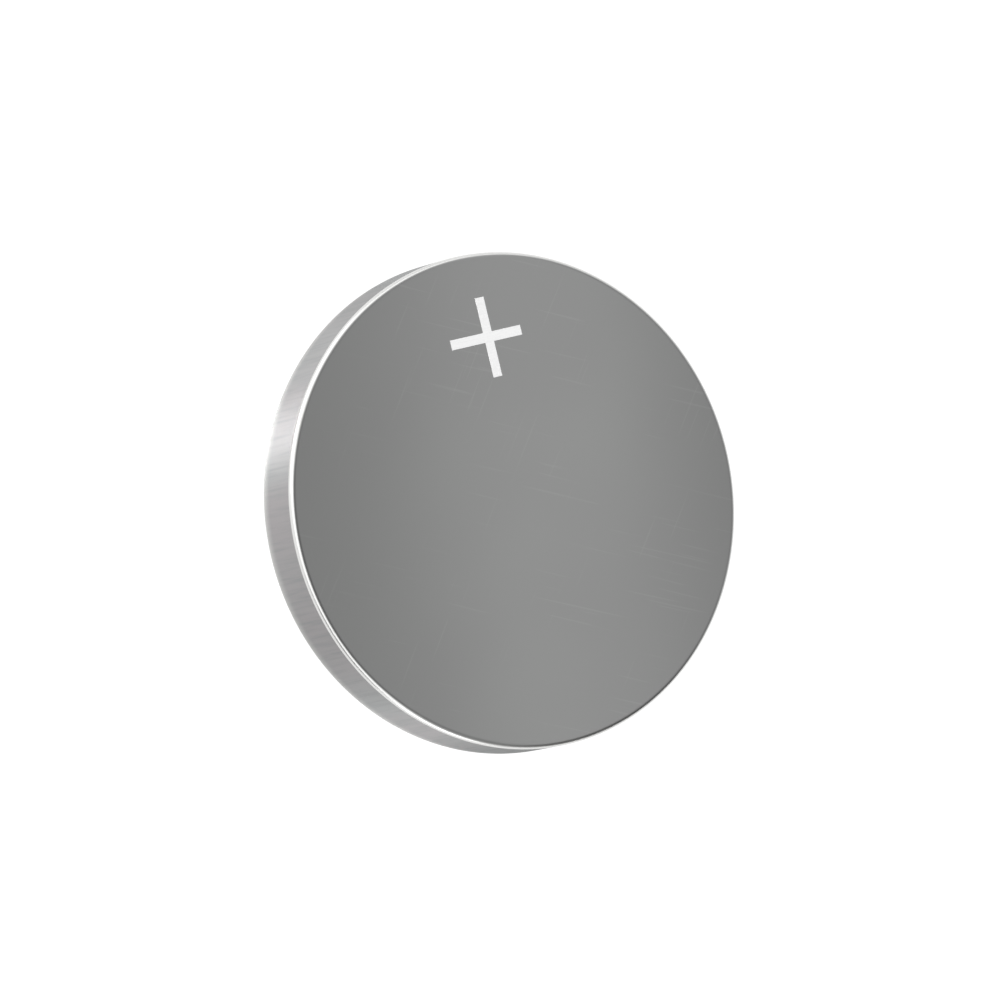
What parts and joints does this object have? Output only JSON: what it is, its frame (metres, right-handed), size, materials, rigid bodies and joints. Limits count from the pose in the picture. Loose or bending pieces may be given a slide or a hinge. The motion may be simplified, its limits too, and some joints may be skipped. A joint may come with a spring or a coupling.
{
  "type": "lithium coin cell",
  "caption": "Flat round 3 V button battery: steel can crimped over a plastic gasket and a stepped steel cap, with its lithium disc, separator, cathode pellet and collector ring.",
  "frame": {"origin": "middle of the negative cap's flat face, which the cell lies on", "axes": "+Z along the cell's axis, out of the positive face; +X to the right of the polarity sign, +Y up it"},
  "size_m": [0.0125, 0.0124, 0.002],
  "materials": {
    "can_steel": "satin nickel-plated stainless steel",
    "cap_steel": "satin nickel-plated stainless steel, fine dull face",
    "gasket_plastic": "moulded polypropylene, milky and slightly waxy",
    "lithium_metal": "dull silvery rolled metal",
    "separator_felt": "non-woven polypropylene felt",
    "cathode_powder": "pressed black powder, matte",
    "ring_steel": "plain stainless steel strip"
  },
  "bodies": {
    "root": {"positive_can": "can_steel", "negative_cap": "cap_steel", "sealing_gasket": "gasket_plastic", "lithium_anode": "lithium_metal", "separator_cup": "separator_felt", "cathode_pellet": "cathode_powder", "cathode_ring": "ring_steel"}
  },
  "joints": []
}
